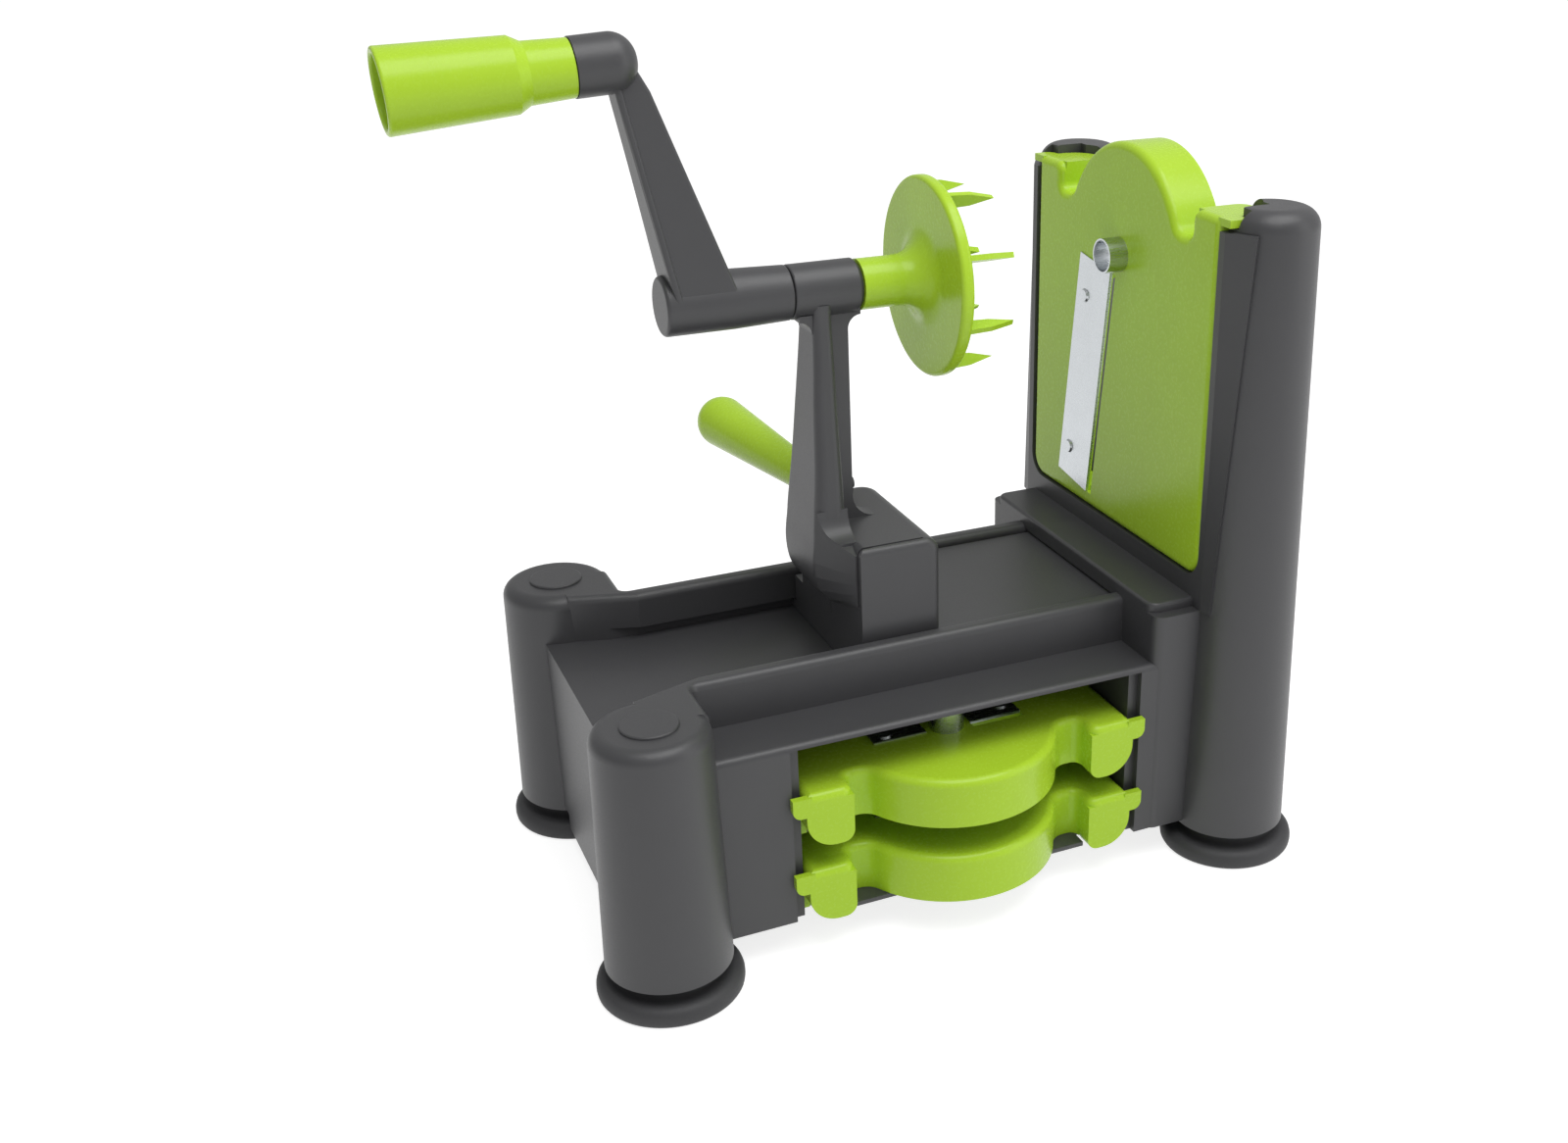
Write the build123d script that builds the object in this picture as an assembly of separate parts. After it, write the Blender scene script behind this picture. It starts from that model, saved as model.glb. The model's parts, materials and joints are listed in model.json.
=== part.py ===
"""A hand-cranked spiralizer: a base on four suction feet, a sliding carriage that
carries the crank and the food holder, a tower that holds the cutting plate, and
two spare plates in a bay under the deck.

While it is modelled, +X runs from the crank to the cutting plate, -Y is the side
that the spare plates slide out of, +Z is up, and z = 0 is the table.  x = 0 is the
line of the low posts, y = 0 the middle plane.  The last step moves the origin to
the middle of the whole machine's outline on the table.  All sizes are millimetres.
"""
from build123d import *
from math import asin, atan2, cos, radians, sin
import os

# ---------------------------------------------------------------- whole machine
POST_PITCH = 207.0        # low posts' axes to tall posts' axes
WALL = 2.6                # moulded wall
PLATE_HALF = 59.0         # half the width of a cutting plate
BLADE_REACH = 92.8        # spindle axis to the long blade's outer end
BLADE_MARGIN = 4.1        # plate's lower edge beyond the long blade
PLATE_DOWN = BLADE_REACH + BLADE_MARGIN  # spindle axis to a plate's lower edge
SEAT_Z = 104.5            # the mounted plate stands at this height
SPINDLE_Z = SEAT_Z + PLATE_DOWN
POST_FROM_PLATE = 1.6     # tall post's axis beyond the plate's side
TALL_POST_Y = PLATE_HALF + POST_FROM_PLATE
WALL_FROM_POST = 0.8      # side wall's outer face beyond the tall post's axis
WALL_Y = TALL_POST_Y + WALL_FROM_POST
SIDES = (-1, 1)           # near side, far side

# ------------------------------------------------------------------------- base
BASE_BOTTOM = 12.4        # lower edge of the side walls
DECK_TOP = 77.0
RAIL_TOP = 93.4
SEAM_Z = 94.3             # the tower stands on the base here
END_X = -9.0              # outer face of the end wall between the low posts
END_WALL_BOTTOM = 6.5     # its skirt between the feet hangs lower than the walls
END_SKIRT_Y = 35.0
BACK_BEHIND_POSTS = 19.0  # back wall's outer face, behind the tall posts' axes
SLAB_HALF = 31.6          # the carriage slab's half width
SLAB_SIDE_GAP = 1.7       # from the slab to a rail
RAIL_IN = SLAB_HALF + SLAB_SIDE_GAP  # the channel's half width
RAIL_THICK = 6.5
RAIL_START = 22.5
RAIL_ROUND = 2.4
GROOVE_DEEP = 3.2         # undercut of a rail that holds the carriage down
GROOVE_HIGH = 4.1
LEDGE_ROUND = 2.4
SHOULDER_PROUD = 0.6      # the shoulders' side face outside the side wall
SHOULDER_Y = WALL_Y + SHOULDER_PROUD
WEB_CORNER = 3.0          # hollow corner between a low post's web and its rail

# ------------------------------------------------------------------------ posts
LOW_POST_IN = 1.9         # low posts' axes inside those of the tall posts
LOW_POST_Y = TALL_POST_Y - LOW_POST_IN
LOW_POST_R = (20.25, 18.3)      # at its foot, at its top
TALL_POST_R = (19.7, 17.8, 14.8)  # at its foot, at the seam, at its top
POST_BOTTOM = 11.0
LOW_POST_ROUND = 4.5
POST_ABOVE_SPINDLE = 26.3
TALL_POST_TOP = SPINDLE_Z + POST_ABOVE_SPINDLE
TALL_POST_ROUND = 6.5
SOCKET_FLOOR = 13.0       # floor inside a post that the foot hangs from
SOCKET_THICK = 4.0
PLUG_R = 9.0
PLUG_RAISED = 0.8
PLUG_SEAT = 1.4
PLUG_ROUND = 0.6
PLUG_STEM_R = 6.0
PLUG_STEM_LONG = 6.0

# ------------------------------------------------------------------------- feet
FOOT_R = 23.4
FOOT_LIP = 1.3            # from the widest ring in to the ring that seals
FOOT_HUB_R = 14.0
FOOT_DISH = 5.0
STUD_R = 5.0
STUD_BARB = 1.4

# ------------------------------------------------------------------------ tower
BEAM_FACE = 172.4         # face of the blade seat towards the crank
BEAM_BACK = 191.0
BEAM_TOP = 97.6
BEAM_IN = 3.0             # from a tall post's axis in to the beam's end
BEAM_Y = TALL_POST_Y - BEAM_IN
BEAM_ROUND = 4.0
BEAM_EDGE = 1.2
FRAME_PROUD = 0.3         # the frame round the mounted plate, in front of its face
FRAME_WIDE = 3.4          # from the plate's side to where the frame turns into the post
FRAME_UP = 19.6           # the frame's top above the spindle axis
REAR_BAR_BACK = 231.0
REAR_BAR_TOP = 107.0
REAR_BAR_BOTTOM = 95.4
REAR_BAR_Y = 43.0
REAR_BAR_BEVEL = 3.0
POST_CORE_R = 6.0
POST_CORE_OFF = (4.0, 5.0)
SPIGOT_LONG = 12.0
SPIGOT_R = 9.0
SPIGOT_GAP = 0.1
TOWER_SCREW_R = 2.0
TOWER_SCREW_LONG = 13.0
TOWER_HEAD_R = 3.6
TOWER_HEAD = 2.4
TOWER_SOCKET_R = 1.9

# ----------------------------------------------------------------------- plates
PLATE_THICK = 2.2
PLATE_DEEP = 17.0         # depth of the skirt
SKIRT = 2.0
PLATE_ROUND = 2.6
PLATE_CORNER = 8.0        # lower corners
ARCH_R = 36.9             # the arch is round about the spindle axis
NOTCH_V = 13.7            # bottom of the notches beside the arch
NOTCH_ROUND = (6.0, 3.0)  # at the arch's foot, at the ear's foot
EAR_WIDE = 16.0
EAR_TOP_ROUND = 3.5
EAR_IN = PLATE_HALF - EAR_WIDE
EAR_V = 23.4
EAR_DEEP = 19.5
EAR_ROUND = (10.0, 4.0)   # outer and inner corner at the ear's back
EAR_FROM = 3.0            # the ear's lower edge above the notch
TAB_LONG = 4.5
TAB_OUT = PLATE_HALF + TAB_LONG
TAB_THICK = 2.4
TAB_DEEP = 7.5
TAB_ROUND = 3.0
TAB_SUNK = 0.6            # below the plate's face
PLATE_X = 189.0           # face of the mounted plate
PLATE_GAP = 0.4           # round the plate in the tower and on the runners
SEAT_GAP = 0.1            # under the mounted plate

# ------------------------------------------------------------------ storage bay
BAY_X = 105.0
BAY_REVEAL = 3.8          # bay's opening beyond each side of a plate
BAY_HALF = PLATE_HALF + BAY_REVEAL
BAY_TOP = 75.3
RACK_WALL = BAY_REVEAL + 0.2    # the rack's side walls reach behind the bay's edges
STORED_FACE_Z = (59.4, 31.05)   # faces of the upper and the lower spare plate
STORED_GAP = 2.4                # a spare plate's back edge to the far wall
STORED_ARCH_Y = ARCH_R + PLATE_DOWN + STORED_GAP - WALL_Y + WALL
RUNNER_GAP = 0.1
RACK_FRONT_Y = 54.5             # front ends of the runners
SILL_BACK_Y = 34.0
RUNNER_WIDE = 4.0
RUNNER_THICK = 1.5
SILL_GAP = 0.6                  # from the sill to a spare plate's ears
SILL_HALF = EAR_IN - SILL_GAP

# ------------------------------------------------------------------------ steel
BLADE_THICK = 1.0
BLADE_PROUD = 0.5         # stands above the plate's face
BLADE_ANGLE = 8.0         # long blade's edge, from straight down
BLADE_OFFSET = 3.8        # its cutting edge beside the spindle axis
BLADE_WIDE = 21.1
BLADE_FROM_TUBE = 2.2
SLOT_WIDE = 2.8
WINDOW_IN = 2.0           # the slot's wider back, inside the blade's ends
WINDOW_UNDER = 3.0        # and under its edge
TUBE_R = 5.85
TUBE_WALL = 0.65
TUBE_UP = 7.0
TUBE_DOWN = 4.0
RIVET_FROM_END = (22.0, 11.5)   # long blade's rivets: from the axis, from its outer end
RIVET_FROM_EDGE = 15.0
RIVET_R = 1.5
RIVET_HEAD_R = 2.5
RIVET_HEAD = 0.7
SHRED_REACH = 27.0
SHRED_WIDE = 9.0
SHRED_EDGE = 1.5          # the left shredding edge lies this far above the axis
SHRED_RIVET = (5.0, 3.2)  # from the short blade's outer end and back edge
COMB_FROM_TUBE = 3.0
COMB_AHEAD = 1.2          # from the slot's front edge to the comb
COMB_THICK = 1.0
COMB_HIGH = 2.6
COMB_ROOT = (0.5, 0.4)    # a tooth's root below and above the plate's face
COMB_SHARE = 0.3          # half a tooth's width, as a share of the pitch
COMB_STRIP = 6.0
FINE_PITCH = 2.6
COARSE_PITCH = 4.5

# --------------------------------------------------------------------- carriage
SLAB_X = (79.2, 174.6)
SLAB_TOP = 90.9
SLIDE_GAP = 0.4
HUMP_BACK = 107.3
HUMP_TOP = 124.0
HUMP_FAR = SLAB_HALF - 5.6
HUMP_ROUND = 2.5
HUMP_BACK_ROUND = 4.5     # its top edge away from the column
HUMP_FAR_ROUND = 7.0
HUMP_CAVITY = 6.0
CHEEK = 2.9               # the sprung cheek's thickness
SLIT_Y = CHEEK - SLAB_HALF
SLIT_WIDE = 1.0
SLIT_DEEP = 5.0
SLIT_BOTTOM = 103.5
FLANGE_BACK = 81.7
FLANGE_ROUND = 0.36       # its edges' rounding, as a share of its thickness
# the flange's level sections: height, left face's x and half width
FLANGE_LOW = ((22.0, 77.8, 12.5), (24.5, 74.0, 14.0), (28.0, 71.4, 15.4), (33.0, 70.2, 16.4),
              (38.0, 70.0, 16.8), (43.0, 70.4, 16.6), (49.0, 70.9, 15.9))    # above the deck
FLANGE_HIGH = ((61.4, 72.2, 14.1), (48.4, 73.1, 12.3), (36.4, 73.8, 10.7), (26.4, 74.5, 9.6),
               (16.4, 75.1, 8.4), (3.4, 75.6, 8.2))              # below the spindle axis
FLANK_FROM_Y = 14.0       # the foot's near side fades out from here to the slit
FLANK_PROUD = 0.6
FLANK_COVE = 8.5          # hollow between the flange's near side and the hump's top
FLANK_COVE_Y = 15.0
COLUMN_WEB_HALF = 3.6
COLUMN_BACK = 88.2
WEB_FOOT_COVE = 8.0
WEB_TOP_COVE = 4.4
FLANGE_COVE = 4.0
COVE_ROOT = 2.0           # a cove's root inside the two faces
KNOB_R = 1.8
KNOB_OUT = 1.5
KNOB_UP = 11.3
TOP_GROOVE = 0.8
TRAVEL_BACK = 67.0
TRAVEL_FORWARD = 48.0
STOP_X = 165.0
STOP_R = 2.5
STOP_DOWN = 4.5
STOP_UP = 8.0             # its press fit in the slab

# ---------------------------------------------------------------------- spindle
BEARING_X = (69.6, 92.6)
BEARING_R = 8.6
SEAM_ROUND = 0.6          # where hub and bearing tube face each other
TUBE_BEVEL = 1.4
BUSH_R = 6.0
BUSH_LONG = 8.0
BUSH_FLANGE = 1.0
BUSH_FLANGE_R = 7.0       # sunk in the bearing tube's end
SHAFT_R = 4.0
RUNNING = 0.05            # radial clearance of a shaft in its hole
END_PLAY = 0.3

# ------------------------------------------------------------------ food holder
DISC_X = 115.2
DISC_THICK = 4.3
DISC_R = 32.0
NECK_R = 8.1
NECK_FLARE = 9.0
DISC_ROUND = 1.4
SHAFT_COVER = 2.0         # from the shaft's end to the disc
HOLDER_SCREW_R = 1.5
HOLDER_SCREW_IN = 9.0
HOLDER_HEAD_R = 3.2
HOLDER_HEAD_SUNK = 2.3
PRONG_RINGS = ((8, 28.0, 16.0), (4, 13.0, 12.0))    # count, ring radius, length
PRONG_WIDE = 5.0
PRONG_THICK = 1.8

# ------------------------------------------------------------------------ crank
HUB_LEFT = 28.8
HUB_R = (9.2, 8.6)        # at its left end, at its right end
HUB_ROUND = 1.2
SHAFT_IN = 8.0            # the shaft's end inside the hub's left face
CROSS_PIN_IN = 8.0        # cross pin's place from the bearing tube
CROSS_PIN_SUNK = 0.6
CROSS_PIN_PAST = 1.2      # its blind end beyond the shaft
CRANK_RADIUS = 70.4
ARM_LOW = (41.0, 20.7, 18.0)    # at the arm's foot: middle x, width in x, width in y
ARM_HIGH = (24.6, 10.4, 10.2)   # the same at its upper end
ARM_TOP = (22.0, 8.0, 8.0)      # the same at the grip's axis, inside the boss
ARM_LOW_UP = 5.6          # that foot section's height above the spindle axis
ARM_HIGH_DOWN = 7.2       # that upper section's depth below the grip's axis
BOSS_LEFT = 8.8
BOSS_LONG = 18.6
BOSS_R = 8.5
BOSS_ROUND = 7.6
ARM_ROUND = 1.0
STRIP_THICK = 2.4         # raised strip along the arm's left face
STRIP_PROUD = 0.6
GRIP_TILT = 3.7           # the grip's axis falls towards its free end
GRIP_NECK = (13.1, 8.2, 8.7)    # end along its axis, radius there and at the start
GRIP_SHOULDER = 3.5
GRIP_LONG = 52.8
GRIP_R = (10.6, 11.9)
GRIP_WALL = 2.0
GRIP_ROUND = 0.8
GRIP_PIN_R = 3.0
GRIP_HEAD_R = 5.5
GRIP_HEAD = 2.4
GRIP_WASHER = 1.0
GRIP_WASHER_R = 6.1
CROSS_PIN_R = 1.25

# ------------------------------------------------------------------ push handle
HANDLE_ROOT = (81.0, 43.2, 129.6)
HANDLE_TIP = (72.0, 83.7, 133.2)  # middle of its round end
HANDLE_R = (5.6, 9.3)
HANDLE_PROUD = 1.5        # the handle's shoulder beyond the hump's far face
HANDLE_FROM_Y = HUMP_FAR + HANDLE_PROUD
HANDLE_BOSS_R = 7.4
HANDLE_SPIGOT_R = 3.6
HANDLE_SPIGOT = 12.0
HANDLE_BOSS = 16.0
HANDLE_SHOULDER = 1.0

BACK_X = POST_PITCH + BACK_BEHIND_POSTS
RAIL_OUT = RAIL_IN + RAIL_THICK


# -------------------------------------------------------------------- shorthands
def block(x_range, y_range, z_range):
    """A box given by its ends along X, Y and Z, in any order."""
    lows = [min(r) for r in (x_range, y_range, z_range)]
    spans = [abs(r[1] - r[0]) for r in (x_range, y_range, z_range)]
    return Pos(*lows) * Box(*spans, align=Align.MIN)


def cone(radius_low, radius_high, height):
    """An upright cone or cylinder that starts at z = 0."""
    flat = (Align.CENTER, Align.CENTER, Align.MIN)
    if radius_low == radius_high:
        return Cylinder(radius_low, height, align=flat)
    return Cone(radius_low, radius_high, height, align=flat)


def rod(start, along, radius, length, radius_end=None):
    """A cylinder or cone from a point along a direction."""
    plane = Plane(origin=start, z_dir=along)
    return plane * cone(radius, radius if radius_end is None else radius_end, length)


def turned(points):
    """A solid turned about Z from (radius, height) points."""
    profile = make_face(Polyline(*[(r, 0, z) for r, z in points], close=True))
    return revolve(profile, Axis.Z)


def top_edges(solid, axis):
    """The highest edges of a solid that run along an axis."""
    return solid.edges().filter_by(axis).group_by(Axis.Z)[-1]


def unit(start, end):
    """The unit vector from one point to another."""
    return (Vector(*end) - Vector(*start)).normalized()


# -------------------------------------------------------------------------- base
def low_post(side):
    """One low post, outside shape only."""
    foot_r, top_r = LOW_POST_R
    post = cone(foot_r, top_r, RAIL_TOP - POST_BOTTOM)
    post = fillet(post.edges().group_by(Axis.Z)[-1], LOW_POST_ROUND)
    return Pos(0, side * LOW_POST_Y, POST_BOTTOM) * post


def tall_post_base(side):
    """The part of a tall post that belongs to the base, outside shape only."""
    post = cone(TALL_POST_R[0], TALL_POST_R[1], SEAM_Z - POST_BOTTOM)
    return Pos(POST_PITCH, side * TALL_POST_Y, POST_BOTTOM) * post


def post_bore(x, y, radii, top):
    """The hollow of a post above and below the floor that holds its foot."""
    foot_r, top_r = (r - WALL for r in radii)
    slope = (top_r - foot_r) / (top - POST_BOTTOM)
    floor_top = SOCKET_FLOOR + SOCKET_THICK
    radius_at = foot_r + slope * (floor_top - POST_BOTTOM)
    lower = cone(foot_r, foot_r, SOCKET_FLOOR - POST_BOTTOM)
    upper = cone(radius_at, top_r, top - floor_top)
    hole = cone(STUD_R, STUD_R, SOCKET_THICK + 2)
    return [Pos(x, y, POST_BOTTOM) * lower, Pos(x, y, floor_top) * upper,
            Pos(x, y, SOCKET_FLOOR - 1) * hole]


def rail_and_web(side):
    """The free part of a rail, with the full-height web that joins it to its low post."""
    post_right = LOW_POST_R[1]
    outline = Polyline((0, LOW_POST_Y), (0, LOW_POST_Y - post_right), (RAIL_START, RAIL_IN),
                       (BEAM_FACE, RAIL_IN), (BEAM_FACE, RAIL_OUT),
                       (post_right, RAIL_OUT), (post_right, LOW_POST_Y), close=True)
    solid = Pos(0, 0, DECK_TOP - WALL) * extrude(make_face(outline), RAIL_TOP - DECK_TOP + WALL)
    corner = [e for e in solid.edges().filter_by(Axis.Z)
              if abs(e.center().X - post_right) < 0.01 and abs(e.center().Y - RAIL_OUT) < 0.01]
    solid = fillet(corner, WEB_CORNER)
    free = [e for e in solid.edges().group_by(Axis.Z)[-1]
            if 1 < e.center().X < BEAM_FACE - 1 and e.center().Y < LOW_POST_Y - 1]
    solid = fillet(free, RAIL_ROUND)
    return solid if side > 0 else mirror(solid, Plane.XZ)


def rail(side):
    """One side of the channel, from the low post to the back wall."""
    covered = block((BEAM_FACE, BACK_X), (side * RAIL_IN, side * RAIL_OUT),
                    (DECK_TOP - WALL, SEAM_Z))
    groove = block((0, BACK_X - WALL), (side * RAIL_IN, side * (RAIL_IN + GROOVE_DEEP)),
                   (DECK_TOP, DECK_TOP + GROOVE_HIGH))
    return rail_and_web(side) + covered - groove


def shoulder(side):
    """The hollow block beside the channel that the tower's beam stands on."""
    inside = WALL_Y - WALL
    outer = block((BEAM_FACE, POST_PITCH), (side * RAIL_OUT, side * SHOULDER_Y),
                  (BASE_BOTTOM, SEAM_Z))
    corner = outer.edges().filter_by(Axis.Z).group_by(Axis.X)[0]
    outer = fillet(corner.sort_by(Axis.Y)[0 if side < 0 else -1], BEAM_ROUND)
    outer += block((POST_PITCH, BACK_X), (side * RAIL_OUT, side * WALL_Y),
                   (DECK_TOP - WALL, SEAM_Z))
    inner = block((BEAM_FACE + WALL, BACK_X - WALL), (side * RAIL_OUT, side * inside),
                  (DECK_TOP - WALL, SEAM_Z - WALL))
    return outer, inner


def spare_plate_rack():
    """Walls, runners and sill that hold the two spare plates."""
    inside = WALL_Y - WALL
    pieces = []
    for side in SIDES:
        face = BAY_X + side * (PLATE_HALF + PLATE_GAP)
        pieces.append(block((face, face + side * RACK_WALL), (-inside, inside),
                            (BASE_BOTTOM, DECK_TOP - WALL)))
        for face_z in STORED_FACE_Z:
            top = face_z - PLATE_DEEP - RUNNER_GAP
            pieces.append(block((face, face - side * RUNNER_WIDE), (-RACK_FRONT_Y, inside),
                                (top - RUNNER_THICK, top)))
    floor_top = STORED_FACE_Z[1] - PLATE_DEEP - RUNNER_GAP
    half = PLATE_HALF + PLATE_GAP
    pieces.append(block((BAY_X - half, BAY_X + half), (-RACK_FRONT_Y, -SILL_BACK_Y),
                        (BASE_BOTTOM, floor_top)))
    pieces.append(block((BAY_X - SILL_HALF, BAY_X + SILL_HALF), (-WALL_Y, -RACK_FRONT_Y),
                        (BASE_BOTTOM, floor_top)))
    return pieces


def base_body():
    """The moulded base: low posts, tall posts' feet, deck, rails, walls and rack."""
    inside_y = WALL_Y - WALL
    body = block((END_X, BACK_X), (-WALL_Y, WALL_Y), (BASE_BOTTOM, DECK_TOP))
    body = fillet(top_edges(body, Axis.X), LEDGE_ROUND)
    for side in SIDES:
        body += shoulder(side)[0]
    body -= block((END_X + WALL, BACK_X - WALL), (-inside_y, inside_y),
                  (BASE_BOTTOM - 1, DECK_TOP - WALL))
    for side in SIDES:
        body -= shoulder(side)[1]
    body += block((END_X, END_X + WALL), (-END_SKIRT_Y, END_SKIRT_Y), (END_WALL_BOTTOM, DECK_TOP))
    body -= block((BAY_X - BAY_HALF, BAY_X + BAY_HALF), (-WALL_Y - 1, -inside_y + 0.01),
                  (BASE_BOTTOM - 1, BAY_TOP))
    for side in SIDES:
        body += rail(side)
        body += low_post(side)
        body += tall_post_base(side)
    for piece in spare_plate_rack():
        body += piece
    for side in SIDES:
        for hollow in post_bore(0, side * LOW_POST_Y, LOW_POST_R, RAIL_TOP - WALL):
            body -= hollow
        for hollow in post_bore(POST_PITCH, side * TALL_POST_Y, TALL_POST_R[:2], SEAM_Z - WALL):
            body -= hollow
        seat_floor = RAIL_TOP - PLUG_SEAT
        body -= Pos(0, side * LOW_POST_Y, seat_floor) * cone(PLUG_R, PLUG_R, 2 * PLUG_SEAT)
        body -= Pos(0, side * LOW_POST_Y, seat_floor - WALL) * cone(
            PLUG_STEM_R, PLUG_STEM_R, 2 * WALL)
        body -= Pos(POST_PITCH, side * TALL_POST_Y, SEAM_Z - 2 * WALL) * cone(
            SPIGOT_R + SPIGOT_GAP, SPIGOT_R + SPIGOT_GAP, 3 * WALL)
        body += spigot_floor(side)
    body -= stop_slot()
    return body


def spigot_floor(side):
    """The cup inside a tall post's foot that the tower's spigot is screwed to."""
    cup = cone(SPIGOT_R + WALL, SPIGOT_R + WALL, SPIGOT_LONG + WALL)
    cup -= Pos(0, 0, WALL) * cone(SPIGOT_R + SPIGOT_GAP, SPIGOT_R + SPIGOT_GAP, SPIGOT_LONG + 1)
    cup -= cone(TOWER_SCREW_R + 0.2, TOWER_SCREW_R + 0.2, WALL)
    return Pos(POST_PITCH, side * TALL_POST_Y, SEAM_Z - SPIGOT_LONG - WALL) * cup


def stop_slot():
    """The slot in the deck, under the tower's beam, that ends the carriage's travel."""
    reach = STOP_R + SLIDE_GAP
    low, high = STOP_X - TRAVEL_BACK, STOP_X + TRAVEL_FORWARD
    bottom = DECK_TOP - STOP_DOWN - SLIDE_GAP
    slot = block((low, high), (-reach, reach), (bottom, DECK_TOP + 1))
    for x in (low, high):
        slot += Pos(x, 0, bottom) * cone(reach, reach, DECK_TOP + 1 - bottom)
    return slot


def post_plug(side):
    """The round plug that closes a low post's top."""
    plug = cone(PLUG_R, PLUG_R, PLUG_SEAT + PLUG_RAISED)
    plug = fillet(plug.edges().group_by(Axis.Z)[-1], PLUG_ROUND)
    plug += Pos(0, 0, -PLUG_STEM_LONG) * cone(PLUG_STEM_R, PLUG_STEM_R, PLUG_STEM_LONG)
    return Pos(0, side * LOW_POST_Y, RAIL_TOP - PLUG_SEAT) * plug


def suction_foot(x, y):
    """A rubber cup with the stud that hangs it in a post."""
    seal_r = FOOT_R - FOOT_LIP
    barb_low = SOCKET_FLOOR + SOCKET_THICK
    cup = turned([(0, FOOT_DISH), (seal_r * 0.5, FOOT_DISH * 0.8), (seal_r - 1.6, 0),
                  (seal_r, 0), (FOOT_R, 2.0), (FOOT_R, 5.2), (FOOT_R - 1.6, 6.8),
                  (FOOT_HUB_R + 3.0, 8.4), (FOOT_HUB_R, 10.0), (FOOT_HUB_R, SOCKET_FLOOR),
                  (STUD_R, SOCKET_FLOOR), (STUD_R, barb_low), (STUD_R + STUD_BARB, barb_low),
                  (STUD_R + STUD_BARB, barb_low + 1.5), (STUD_R - 1.0, barb_low + 5.5),
                  (0, barb_low + 5.5)])
    return Pos(x, y, 0) * cup


# ------------------------------------------------------------------------- tower
def tall_post_tower(side):
    """The part of a tall post that belongs to the tower, outside shape only."""
    post = cone(TALL_POST_R[1], TALL_POST_R[2], TALL_POST_TOP - SEAM_Z)
    post = fillet(post.edges().group_by(Axis.Z)[-1], TALL_POST_ROUND)
    return Pos(POST_PITCH, side * TALL_POST_Y, SEAM_Z) * post


def plate_pocket():
    """The space that the mounted plate slides down into."""
    gap = PLATE_GAP
    front = PLATE_X - 2 * FRAME_PROUD
    half = PLATE_HALF + gap
    high = TALL_POST_TOP + 1
    pocket = block((front, PLATE_X + PLATE_DEEP + gap), (-half, half), (SEAT_Z - SEAT_GAP, high))
    pocket = fillet(pocket.edges().filter_by(Axis.X).group_by(Axis.Z)[0], PLATE_CORNER + gap)
    ear_z = SPINDLE_Z + NOTCH_V + EAR_FROM - gap
    for side in SIDES:
        ear = block((front, PLATE_X + EAR_DEEP + gap), (side * EAR_IN / 2, side * half),
                    (ear_z, high))
        outer = ear.edges().filter_by(Axis.Z).group_by(Axis.X)[-1]
        outer = outer.sort_by(Axis.Y)[0 if side < 0 else -1]
        pocket += fillet(outer, EAR_ROUND[0])
        tab_z = SPINDLE_Z + EAR_V - TAB_THICK - gap
        pocket += block((front, PLATE_X + TAB_DEEP + gap),
                        (side * EAR_IN, side * (TAB_OUT + gap)), (tab_z, high))
    return pocket


def frame_cheek(side):
    """The side of the frame round the mounted plate, which runs into the tall post."""
    front = PLATE_X - FRAME_PROUD
    faces = []
    for z, post_r in ((SEAM_Z, TALL_POST_R[1]), (SPINDLE_Z + FRAME_UP, TALL_POST_R[2])):
        start_y = PLATE_HALF + FRAME_WIDE
        reach = Vector(POST_PITCH - front, TALL_POST_Y - start_y)
        turn = atan2(reach.Y, reach.X) - asin(post_r / reach.length)
        along = (reach.length ** 2 - post_r ** 2) ** 0.5
        touch = (front + along * cos(turn), start_y - along * sin(turn))
        points = [(front, PLATE_HALF - WALL), (front, start_y), touch,
                  (POST_PITCH, TALL_POST_Y), (POST_PITCH, PLATE_HALF - WALL)]
        faces.append(make_face(Polyline(*[(x, side * y, z) for x, y in points], close=True)))
    return loft(faces, ruled=True)


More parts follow.
